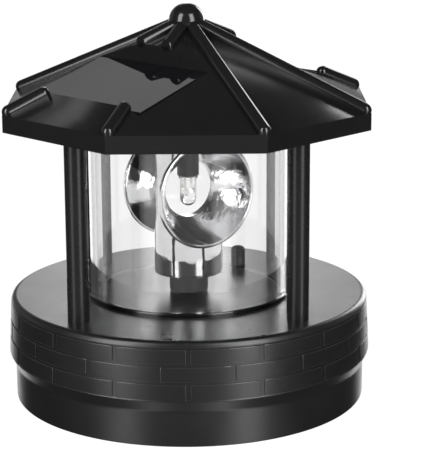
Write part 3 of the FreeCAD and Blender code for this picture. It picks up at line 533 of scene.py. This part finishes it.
roof = {"cornerRadius": 57.5, "sides": 8, "lowZ": 84.80, "eaveZ": 89.94, "apexZ": 114.4, "wall": 2.0,
        "ribRadius": 1.95, "ribSteps": 24, "ballRadius": 5.33, "ballTopZ": 119.1, "ballSteps": 64,
        "edge": 0.22, "easeAngle": 20}
pocket = {"azimuths": (-45, 135), "innerReach": 13.8, "outerReach": 40.7, "halfWidth": 22.5,
          "planeZ": 102.65, "tilt": 17.0, "panelThickness": 1.6, "panelEdge": 0.12, "margin": 0.3,
          "wall": 1.8, "stubGap": 0.9, "stubTuck": 0.15, "near": 25, "openRise": 20, "ribDrop": 3}


def roofSlope():
    return (roof["apexZ"] - roof["eaveZ"]) / (roof["cornerRadius"] * math.cos(math.pi / roof["sides"]))


def eightSided(apothem, lowZ, eaveZ, tipZ):
    # upright eight-sided wall with a pointed top
    bm = bmesh.new()
    radius = apothem / math.cos(math.pi / roof["sides"])
    turn = Matrix.Rotation(math.pi / roof["sides"], 4, "Z") @ Matrix.Translation((0, 0, lowZ))
    made = bmesh.ops.create_circle(bm, cap_ends=True, segments=roof["sides"], radius=radius, matrix=turn)
    floor = made["verts"][0].link_faces[0]
    wall = bmesh.ops.extrude_face_region(bm, geom=[floor])
    rising = [v for v in wall["geom"] if isinstance(v, bmesh.types.BMVert)]
    bmesh.ops.translate(bm, vec=(0, 0, eaveZ - lowZ), verts=rising)
    top = [f for f in wall["geom"] if isinstance(f, bmesh.types.BMFace)][0]
    tip = bmesh.ops.poke(bm, faces=[top])["verts"][0]
    tip.co = (0, 0, tipZ)
    bmesh.ops.recalc_face_normals(bm, faces=bm.faces)
    return bm


def panelTopZ(reach):
    return pocket["planeZ"] - math.tan(math.radians(pocket["tilt"])) * (reach - pocket["innerReach"])


def pocketBlock(grow, drop, azimuth):
    # a pocket's block, grown all round, with upright sides; its floor and top follow the panel's slope
    bm = bmesh.new()
    bmesh.ops.create_cube(bm, size=2.0)
    for v in bm.verts:
        reach = pocket["outerReach"] + grow if v.co.x > 0 else pocket["innerReach"] - grow
        rise = pocket["openRise"] if v.co.z > 0 else -drop
        v.co = (reach, v.co.y * (pocket["halfWidth"] + grow), panelTopZ(reach) + rise)
    return moved(bm, turned(azimuth))


def capsule(start, end, radius):
    # rod with rounded ends between two points
    along = Vector(end) - Vector(start)
    outline = [(radius * math.sin(a), -radius * math.cos(a)) for a in quarterAngles(roof["ribSteps"] // 4)]
    outline += [(r, along.length - z) for r, z in reversed(outline)]
    bm = lathe(outline, roof["ribSteps"], closed=False)
    aim = along.to_track_quat("Z", "Y").to_matrix().to_4x4()
    return moved(bm, Matrix.Translation(Vector(start)) @ aim)


def ridgePoint(radius, azimuth):
    x, y = aroundAxis(radius, azimuth)
    return (x, y, roof["apexZ"] - roofSlope() * radius * math.cos(math.pi / roof["sides"]))


def turnBetween(azimuth, other):
    return abs((azimuth - other + 180) % 360 - 180)


def ribRuns():
    # azimuth, start and end radius of each length of rib, and whether a pocket cuts it
    lean = math.cos(math.pi / roof["sides"])
    outerEnd = roof["cornerRadius"] - roof["ribRadius"]
    for k in range(roof["sides"]):
        azimuth = 360 / roof["sides"] * (k + 0.5)
        if min(turnBetween(azimuth, a) for a in pocket["azimuths"]) < pocket["near"]:
            stubStart = (pocket["outerReach"] + pocket["stubGap"]) / lean - pocket["stubTuck"]
            yield azimuth, stubStart, outerEnd, False
            yield azimuth, 0.0, pocket["innerReach"] / lean - 0.5 * roof["ribRadius"], True
        else:
            yield azimuth, 0.0, outerEnd, False


def makeRoof():
    lean = math.cos(math.pi / roof["sides"])
    apothem = roof["cornerRadius"] * lean
    slope = roofSlope()
    sunk = pocket["panelThickness"] / math.cos(math.radians(pocket["tilt"]))
    outer = eightSided(apothem, roof["lowZ"], roof["eaveZ"], roof["apexZ"])
    for azimuth in pocket["azimuths"]:
        outer = combined(outer, pocketBlock(0, sunk, azimuth), "DIFFERENCE")
    innerApothem = apothem - roof["wall"]
    fall = roof["wall"] * math.sqrt(1 + slope ** 2)
    hollow = eightSided(innerApothem, roof["lowZ"] - 1, roof["apexZ"] - slope * innerApothem - fall,
                        roof["apexZ"] - fall)
    for azimuth in pocket["azimuths"]:      # the hollow leaves a wall round each pocket
        hollow = combined(hollow, pocketBlock(pocket["wall"], sunk + pocket["wall"], azimuth), "DIFFERENCE")
    shell = combined(outer, hollow, "DIFFERENCE")
    easeEdges(shell, roof["edge"], roof["easeAngle"])
    shapes = [shell]
    for azimuth, start, end, meetsPocket in ribRuns():
        rib = capsule(ridgePoint(start, azimuth), ridgePoint(end, azimuth), roof["ribRadius"])
        if meetsPocket:
            nearest = min(pocket["azimuths"], key=lambda a: turnBetween(azimuth, a))
            rib = combined(rib, pocketBlock(0, pocket["ribDrop"], nearest), "DIFFERENCE")
        shapes.append(rib)
    ball = bmesh.new()
    bmesh.ops.create_uvsphere(ball, u_segments=roof["ballSteps"], v_segments=roof["ballSteps"] // 2,
                              radius=roof["ballRadius"])
    shapes.append(moved(ball, Matrix.Translation((0, 0, roof["ballTopZ"] - roof["ballRadius"]))))
    makePiece("roofShell", together(shapes), roofPlastic, "lantern", ["roof_shell"],
              sharpAngle=30)


def makePanels():
    names = {"solarPanelFront": "solar_panel_front", "solarPanelBack": "solar_panel_back"}
    tilt = math.radians(pocket["tilt"])
    thick = pocket["panelThickness"]
    reach = pocket["innerReach"] + pocket["margin"] + thick * math.sin(tilt)
    length = (pocket["outerReach"] - 2 * pocket["margin"] - reach) / math.cos(tilt)
    width = 2 * (pocket["halfWidth"] - pocket["margin"])
    for (name, node), azimuth in zip(names.items(), pocket["azimuths"]):
        bm = softBox((length, width, thick), (length / 2, 0, -thick / 2), pocket["panelEdge"])
        sloped = Matrix.Translation((reach, 0, panelTopZ(reach))) @ Matrix.Rotation(tilt, 4, "Y")
        finish = solarCells(name + "Cells", -math.radians(azimuth - 90))
        makePiece(name, moved(bm, turned(azimuth) @ sloped), finish, "lantern", [node])


makeRoof()
makePanels()
print("roof made")


lamp = {"tipZ": 57.8, "radius": 2.5, "flangeRadius": 2.9, "flangeHeight": 1.0, "edge": 0.1, "steps": 48}
leads = {"size": 0.5, "edge": 0.05, "spacing": 1.27, "rise": 2.0, "cupRise": 3.2, "cupEdge": 0.03,
         "cupSteps": 32,
         "cup": ((0, 0.35), (0.42, 0.35), (0.6, 0), (0.7, 0), (0.46, 0.7), (0, 0.7)),
         "blocks": (((1.6, 1.0, 2.0), -0.1, 1.4, 0.12),         # size, shift, rise and edge
                    ((0.9, 0.8, 1.4), 0.2, 1.7, 0.1))}
post = {"lowZ": 67.3, "radius": 3.3, "bore": 1.6, "ceilingTopZ": 87.6, "flangeRadius": 5.5, "topZ": 89.0,
        "edge": 0.15, "steps": 64}


def makeLamp():
    low, top, edge = lamp["tipZ"], post["lowZ"], lamp["edge"]
    arc = [(lamp["radius"] * math.sin(a), low + lamp["radius"] * (1 - math.cos(a)))
           for a in quarterAngles(lamp["steps"] // 4)]
    shoulder = top - lamp["flangeHeight"]
    outline = arc + [(lamp["radius"], shoulder - edge), (lamp["flangeRadius"] - edge, shoulder),
                     (lamp["flangeRadius"], shoulder + edge), (lamp["flangeRadius"], top), (0, top)]
    bm = lathe(outline, lamp["steps"], closed=False)
    piece = makePiece("lampBody", bm, lampResin, "lantern", ["lamp_body"])
    piece.visible_shadow = False


def makeLeads():
    # two leads, each ending in a block; the larger block has the cup that holds the chip
    cupZ = lamp["tipZ"] + leads["cupRise"]
    half = leads["spacing"] / 2
    size = leads["size"]
    topZ = post["topZ"]
    legZ = cupZ + leads["rise"]
    shapes = [softBox((size, size, topZ - legZ), (x, 0, (topZ + legZ) / 2), leads["edge"])
              for x in (-half, half)]
    for x, (blockSize, shift, rise, edge) in zip((-half, half), leads["blocks"]):
        shapes.append(softBox(blockSize, (x + shift, 0, cupZ + rise), edge))
    cup = lathe(softCorners(leads["cup"], leads["cupEdge"], closed=False), leads["cupSteps"], closed=False)
    shapes.append(moved(cup, Matrix.Translation((-half, 0, cupZ))))
    makePiece("lampLeads", together(shapes), leadMetal, "lantern", ["lamp_leads"])


def makePost():
    outline = [(post["bore"], post["lowZ"]), (post["radius"], post["lowZ"]),
               (post["radius"], post["ceilingTopZ"]), (post["flangeRadius"], post["ceilingTopZ"]),
               (post["flangeRadius"], post["topZ"]), (post["bore"], post["topZ"])]
    bm = lathe(softCorners(outline, post["edge"]), post["steps"])
    makePiece("lampPost", bm, postPlastic, "lantern", ["lamp_post"])


makeLamp()
makeLeads()
makePost()
print("lamp made")


dish = {"azimuth": 31.4, "axisZ": 63.27, "mouthReach": 11.2, "rimRadius": 16.4, "rimWidth": 1.1,
        "rimThickness": 1.0, "throatRadius": 8.6, "throatHalf": 1.2, "bulge": 0.65, "wall": 1.1,
        "skirtRadius": 10.4, "skirtWall": 1.2, "skirtLowZ": 37.55, "webZ": 44.0, "collarLowZ": 62,
        "collarTopZ": 77.0, "lampHole": 4.4, "holeTopZ": 90, "grooveDepth": 0.22, "groove": (0.14, 0.26, 0.4),
        "rimRound": ((0, 0.12), (0.12, 0.34)), "rimFall": 0.34, "rimBackRound": 0.15, "rimBackOut": 0.4,
        "clearMouth": 0.3, "clearRim": 0.5, "clearBeyond": 3, "clearSteps": 96, "holeSteps": 48,
        "wallSteps": 14, "steps": 128}
hub = {"radius": 5.87, "lowZ": 31.86, "topZ": 44.0, "bore": 1.55, "edge": 0.3, "steps": 64}


def bowedLine(start, end, bow, steps):
    # points from start to end, bowed sideways by bow at the middle
    a, b = Vector(start), Vector(end)
    side = Vector((b.y - a.y, a.x - b.x)).normalized()
    points = []
    for k in range(steps + 1):
        t = k / steps
        p = a.lerp(b, t) + side * bow * 4 * t * (1 - t)
        points.append((p.x, p.y))
    return points


def hornOutline(grow, mouth, rim):
    # half outline of a dish as (along, radius), from throat to mouth
    start = (dish["throatHalf"] - 0.5 * grow, dish["throatRadius"] + grow)
    return bowedLine(start, (mouth, rim), -dish["bulge"], dish["wallSteps"])


def alongDish(bm):
    lay = turned(dish["azimuth"]) @ Matrix.Rotation(math.pi / 2, 4, "Y")
    return moved(bm, Matrix.Translation((0, 0, dish["axisZ"])) @ lay)


def dishHollow():
    # a solid that fills both dishes from the middle of their wall to beyond their mouths
    mouth = dish["mouthReach"] + dish["clearMouth"]
    rim = dish["rimRadius"] - dish["rimWidth"] + dish["clearRim"]
    half = hornOutline(0.5 * dish["wall"], mouth, rim) + [(mouth + dish["clearBeyond"], rim)]
    left = [(r, -s) for s, r in reversed(half)]
    right = [(r, s) for s, r in half]
    outline = [(0, left[0][1])] + left + right + [(0, right[-1][1])]
    return alongDish(lathe(outline, dish["clearSteps"], closed=False))


def dishShell():
    mouth, rim = dish["mouthReach"], dish["rimRadius"]
    innerRim = rim - dish["rimWidth"]
    middle = rim - 0.5 * dish["rimWidth"]
    back = mouth - dish["rimThickness"]
    inside = hornOutline(0, mouth, innerRim)
    outside = hornOutline(dish["wall"], back, innerRim + dish["rimBackOut"] * dish["wall"])
    # the rim's face has a fine groove inside a rounded outer edge
    grooveIn, grooveOut, grooveEnd = dish["groove"]
    floor = mouth - dish["grooveDepth"]
    lip = [(floor, innerRim + grooveIn), (floor, innerRim + grooveOut), (mouth, innerRim + grooveEnd)]
    lip += [(mouth - fall, middle + out) for fall, out in dish["rimRound"]]
    lip += [(mouth - dish["rimFall"], rim), (back + dish["rimBackRound"], rim),
            (back, rim - dish["rimBackRound"])]
    half = inside + lip + list(reversed(outside))
    mirrored = [(-s, r) for s, r in reversed(half)]
    shell = alongDish(lathe([(r, s) for s, r in half + mirrored], dish["steps"]))
    hole = lathe([(0, dish["axisZ"]), (dish["lampHole"], dish["axisZ"]), (dish["lampHole"], dish["holeTopZ"]),
                  (0, dish["holeTopZ"])], dish["holeSteps"], closed=False)
    return combined(shell, hole, "DIFFERENCE")


def makeReflector():
    bore = dish["skirtRadius"] - dish["skirtWall"]
    low, top = dish["skirtLowZ"], dish["collarTopZ"]
    outline = [         # radius and height of each corner, and its round
        (0, dish["webZ"]), (bore, dish["webZ"], 0), (bore, low, 0.2), (dish["skirtRadius"], low, 0.25),
        (dish["skirtRadius"], top, 0.4), (dish["lampHole"], top, 0.4),
        (dish["lampHole"], dish["collarLowZ"], 0), (0, dish["collarLowZ"])]
    collar = lathe(softCorners(outline, 0.1, closed=False), dish["steps"], closed=False)
    collar = combined(collar, dishHollow(), "DIFFERENCE")
    makePiece("reflector", together([collar, dishShell()]), reflectorChrome, "rotor",
              ["reflector"], sharpAngle=30)


def makeHub():
    outline = [(hub["bore"], hub["lowZ"]), (hub["radius"], hub["lowZ"]), (hub["radius"], hub["topZ"]),
               (hub["bore"], hub["topZ"])]
    bm = lathe(softCorners(outline, hub["edge"]), hub["steps"])
    makePiece("driveHub", bm, postPlastic, "rotor", ["drive_hub"])


makeReflector()
makeHub()
print("reflector made")


button = {"reach": 34.0, "azimuth": 150.6, "radius": 2.5, "topZ": 37.4, "lowZ": 24.6, "domeDrop": 0.78,
          "crownRadius": 1.5, "crownDrop": 0.12, "flangeRadius": 3.4, "flangeLowZ": 28.21,
          "flangeTopZ": 29.21, "steps": 48}


def makeButton():
    x, y = aroundAxis(button["reach"], button["azimuth"])
    r, top = button["radius"], button["topZ"]
    outline = [         # radius and height of each corner, and its round
        (0, button["lowZ"]), (r, button["lowZ"], 0.1), (r, button["flangeLowZ"], 0),
        (button["flangeRadius"], button["flangeLowZ"], 0.1),
        (button["flangeRadius"], button["flangeTopZ"], 0.1), (r, button["flangeTopZ"], 0),
        (r, top - button["domeDrop"], 0.9), (button["crownRadius"], top - button["crownDrop"], 0.6), (0, top)]
    bm = lathe(softCorners(outline, 0.1, 6, closed=False), button["steps"], closed=False)
    moved(bm, Matrix.Translation((x, y, 0)))
    makePiece("buttonCap", bm, buttonRubber, "button", ["button_cap"])


makeButton()
print("button made")


nodeFinish = {      # the pieces that keep their CAD mesh
    "ceiling_plate": postPlastic, "rotor_shaft": groundSteel, "shaft_bush": turnedBrass,
    "output_gear": gearAcetal, "idler_gear": gearAcetal, "idler_pin": groundSteel,
    "motor_pinion": turnedBrass, "motor_shaft": groundSteel, "motor_can": platedSteel,
    "gear_plate": postPlastic, "bottom_cover": coverPlastic, "battery_door": coverPlastic,
    "battery_cell": cellSleeve, "contact_plate": groundSteel, "contact_spring": groundSteel,
    "circuit_board": boardLacquer, "board_parts": switchPlastic, "push_switch": switchPlastic,
    "switch_plunger": gearAcetal, "cover_screws": platedSteel, "door_screw": platedSteel,
    "plate_screws": platedSteel, "motor_screws": platedSteel, "board_screws": platedSteel,
    "column_screws": platedSteel, "roof_screws": platedSteel}

for node, finish in nodeFinish.items():
    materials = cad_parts[node].data.materials
    materials.clear()
    materials.append(finish)
print("carried-over nodes finished")


# the edges of the sky are parts of a unit direction: x aside, y behind and z up
studio = {"floorSize": 3.0, "floorShade": (0.86, 0.86, 0.86, 1), "floorRough": 0.9, "floorGlow": 1.06,
          "cameraWhite": 0.94, "fill": 0.22, "dark": 0.06, "behind": (0.05, 0.35),
          "lowSky": 1.9, "lowSkyFoot": (-0.08, 0.02), "lowSkyTop": (0.36, 0.50), "lowSkySide": (0.12, 0.18),
          "lowSkyBeside": 0.15, "hotCentre": 3.8, "hotMiddle": 0.008, "hotWidth": (0.026, 0.055),
          "highSky": 0.75, "highSkyFoot": (0.42, 0.52), "highSkyTop": (0.60, 0.66), "highSkyMiddle": 0.12,
          "highSkySide": (0.14, 0.21),
          "table": 0.22, "tableFront": (0.72, 0.94), "tableTop": (-0.05, 0.08),
          "backTable": 0.14, "backTableSide": (0.90, 0.98), "backTableTop": (-0.20, -0.10),
          "streaks": ((-0.75, 2.7), (0.66, 4.0), (-2.80, 2.2), (2.80, 2.2)),    # azimuth in radians, strength
          "streakWidth": (0.06, 0.26), "streakTop": (-0.10, 0.0), "lightOnFloor": 0.2, "lightAimZ": 0.06,
          "softboxes": {        # azimuth, height, distance, size and power
              "softboxLeft": (-46, 0.40, 0.8, (0.36, 0.88), 8.0),
              "softboxRight": (37, 0.40, 0.8, (0.36, 0.88), 8.0),
              "softboxBack": (150, 0.25, 0.9, (0.30, 0.60), 3.0)}}
view = {"place": (0.00422, -0.54734, 0.19030), "aim": (0.00896, 0.0, 0.04749), "roll": -0.275,
        "lens": 140.77, "sensor": 36, "nearest": 0.01}


def makeFloor():
    # a plain floor that the camera sees as white; other rays see its shade
    bm = bmesh.new()
    bmesh.ops.create_grid(bm, x_segments=1, y_segments=1, size=studio["floorSize"])
    mesh = bpy.data.meshes.new("floor")
    bm.to_mesh(mesh)
    bm.free()
    floor = bpy.data.objects.new("floor", mesh)
    scene.collection.objects.link(floor)
    material = bpy.data.materials.new("floorWhite")
    material.use_nodes = True
    tree = material.node_tree
    shader = tree.nodes["Principled BSDF"]
    shader.inputs["Base Color"].default_value = studio["floorShade"]
    shader.inputs["Roughness"].default_value = studio["floorRough"]
    shader.inputs["Specular IOR Level"].default_value = 0.0
    glow = tree.nodes.new("ShaderNodeEmission")
    glow.inputs["Color"].default_value = (1, 1, 1, 1)
    glow.inputs["Strength"].default_value = studio["floorGlow"]
    path = tree.nodes.new("ShaderNodeLightPath")
    seen = calculated(tree, "MAXIMUM", path.outputs["Is Camera Ray"], path.outputs["Is Transmission Ray"])
    mix = tree.nodes.new("ShaderNodeMixShader")
    tree.links.new(calculated(tree, "MULTIPLY", seen, studio["cameraWhite"]), mix.inputs["Fac"])
    tree.links.new(shader.outputs["BSDF"], mix.inputs[1])
    tree.links.new(glow.outputs["Emission"], mix.inputs[2])
    tree.links.new(mix.outputs["Shader"], tree.nodes["Material Output"].inputs["Surface"])
    mesh.materials.append(material)
    floor.visible_glossy = False        # reflections see the studio below the horizon instead


def makeWorld():
    # reflections see a dark room with a bright backdrop; the camera sees white, also through
    # clear plastic; other rays see an even fill
    world = bpy.data.worlds.new("studio")
    scene.world = world
    world.use_nodes = True
    tree = world.node_tree
    tree.nodes.clear()
    path = tree.nodes.new("ShaderNodeLightPath")
    coords = tree.nodes.new("ShaderNodeTexCoord")
    split = tree.nodes.new("ShaderNodeSeparateXYZ")
    tree.links.new(coords.outputs["Generated"], split.inputs["Vector"])

    def calculate(operation, *values):
        return calculated(tree, operation, *values)

    def step(value, edges, low=0.0, high=1.0):
        return ranged(tree, value, edges, low, high, "SMOOTHSTEP")

    def blend(factor, first, second):
        return calculate("ADD", calculate("MULTIPLY", first, calculate("SUBTRACT", 1.0, factor)),
                         calculate("MULTIPLY", second, factor))

    def times(*factors):
        product = factors[0]
        for factor in factors[1:]:
            product = calculate("MULTIPLY", product, factor)
        return product

    x, y, z = split.outputs
    aside = calculate("ABSOLUTE", x)
    highAside = calculate("ABSOLUTE", calculate("ADD", x, studio["highSkyMiddle"]))
    behind = step(y, studio["behind"])
    offCentre = calculate("ABSOLUTE", calculate("ADD", x, studio["hotMiddle"]))
    hot = step(offCentre, studio["hotWidth"], studio["lowSky"] + studio["hotCentre"], studio["lowSky"])
    lowSky = times(behind, hot, step(z, studio["lowSkyTop"], 1.0, 0.0),
                   step(aside, studio["lowSkySide"], 1.0, studio["lowSkyBeside"]),
                   step(z, studio["lowSkyFoot"]))
    highSky = times(behind, studio["highSky"], step(z, studio["highSkyFoot"]),
                    step(z, studio["highSkyTop"], 1.0, 0.0), step(highAside, studio["highSkySide"], 1.0, 0.0))
    ahead = calculate("MULTIPLY", y, -1.0)
    table = times(step(ahead, studio["tableFront"]), step(z, studio["tableTop"], 1.0, 0.0), studio["table"])
    backTable = times(step(y, studio["backTableSide"]), step(z, studio["backTableTop"], 1.0, 0.0),
                      studio["backTable"])
    sky = calculate("ADD", lowSky, highSky)
    room = calculate("ADD", calculate("ADD", sky, backTable), calculate("ADD", table, studio["dark"]))
    azimuth = calculate("ARCTAN2", x, ahead)
    for middle, strength in studio["streaks"]:
        off = calculate("ABSOLUTE", calculate("SUBTRACT", azimuth, middle))
        streak = step(off, studio["streakWidth"], strength, 0.0)
        room = calculate("ADD", room, times(streak, step(z, studio["streakTop"], 1.0, 0.0)))
    mirrored = calculate("MINIMUM", path.outputs["Glossy Depth"], 1.0)
    white = calculate("MAXIMUM", path.outputs["Is Camera Ray"], path.outputs["Is Transmission Ray"])
    level = blend(mirrored, blend(white, studio["fill"], 1.0), room)
    background = tree.nodes.new("ShaderNodeBackground")
    tree.links.new(level, background.inputs["Strength"])
    output = tree.nodes.new("ShaderNodeOutputWorld")
    tree.links.new(background.outputs["Background"], output.inputs["Surface"])


def makeLight(name, azimuth, height, distance, size, power):
    light = bpy.data.lights.new(name, "AREA")
    light.shape = "RECTANGLE"
    light.size, light.size_y = size
    light.energy = power
    light.diffuse_factor = studio["lightOnFloor"]
    softbox = bpy.data.objects.new(name, light)
    scene.collection.objects.link(softbox)
    x, y = aroundAxis(distance, azimuth)
    softbox.location = (x, y, height)
    aim = Vector((0, 0, studio["lightAimZ"])) - Vector(softbox.location)
    softbox.rotation_euler = aim.to_track_quat("-Z", "Y").to_euler()


def makeCamera():
    camera = bpy.data.cameras.new("camera")
    camera.lens = view["lens"]
    camera.sensor_width = view["sensor"]
    camera.clip_start = view["nearest"]
    eye = bpy.data.objects.new("camera", camera)
    scene.collection.objects.link(eye)
    eye.location = view["place"]
    aim = Vector(view["aim"]) - Vector(view["place"])
    roll = Matrix.Rotation(math.radians(view["roll"]), 4, "Z")
    eye.rotation_euler = (aim.to_track_quat("-Z", "Y").to_matrix().to_4x4() @ roll).to_euler()
    scene.camera = eye


makeFloor()
makeWorld()
for name, place in studio["softboxes"].items():
    makeLight(name, *place)
makeCamera()
scene.view_settings.view_transform = "Standard"
print("studio ready")
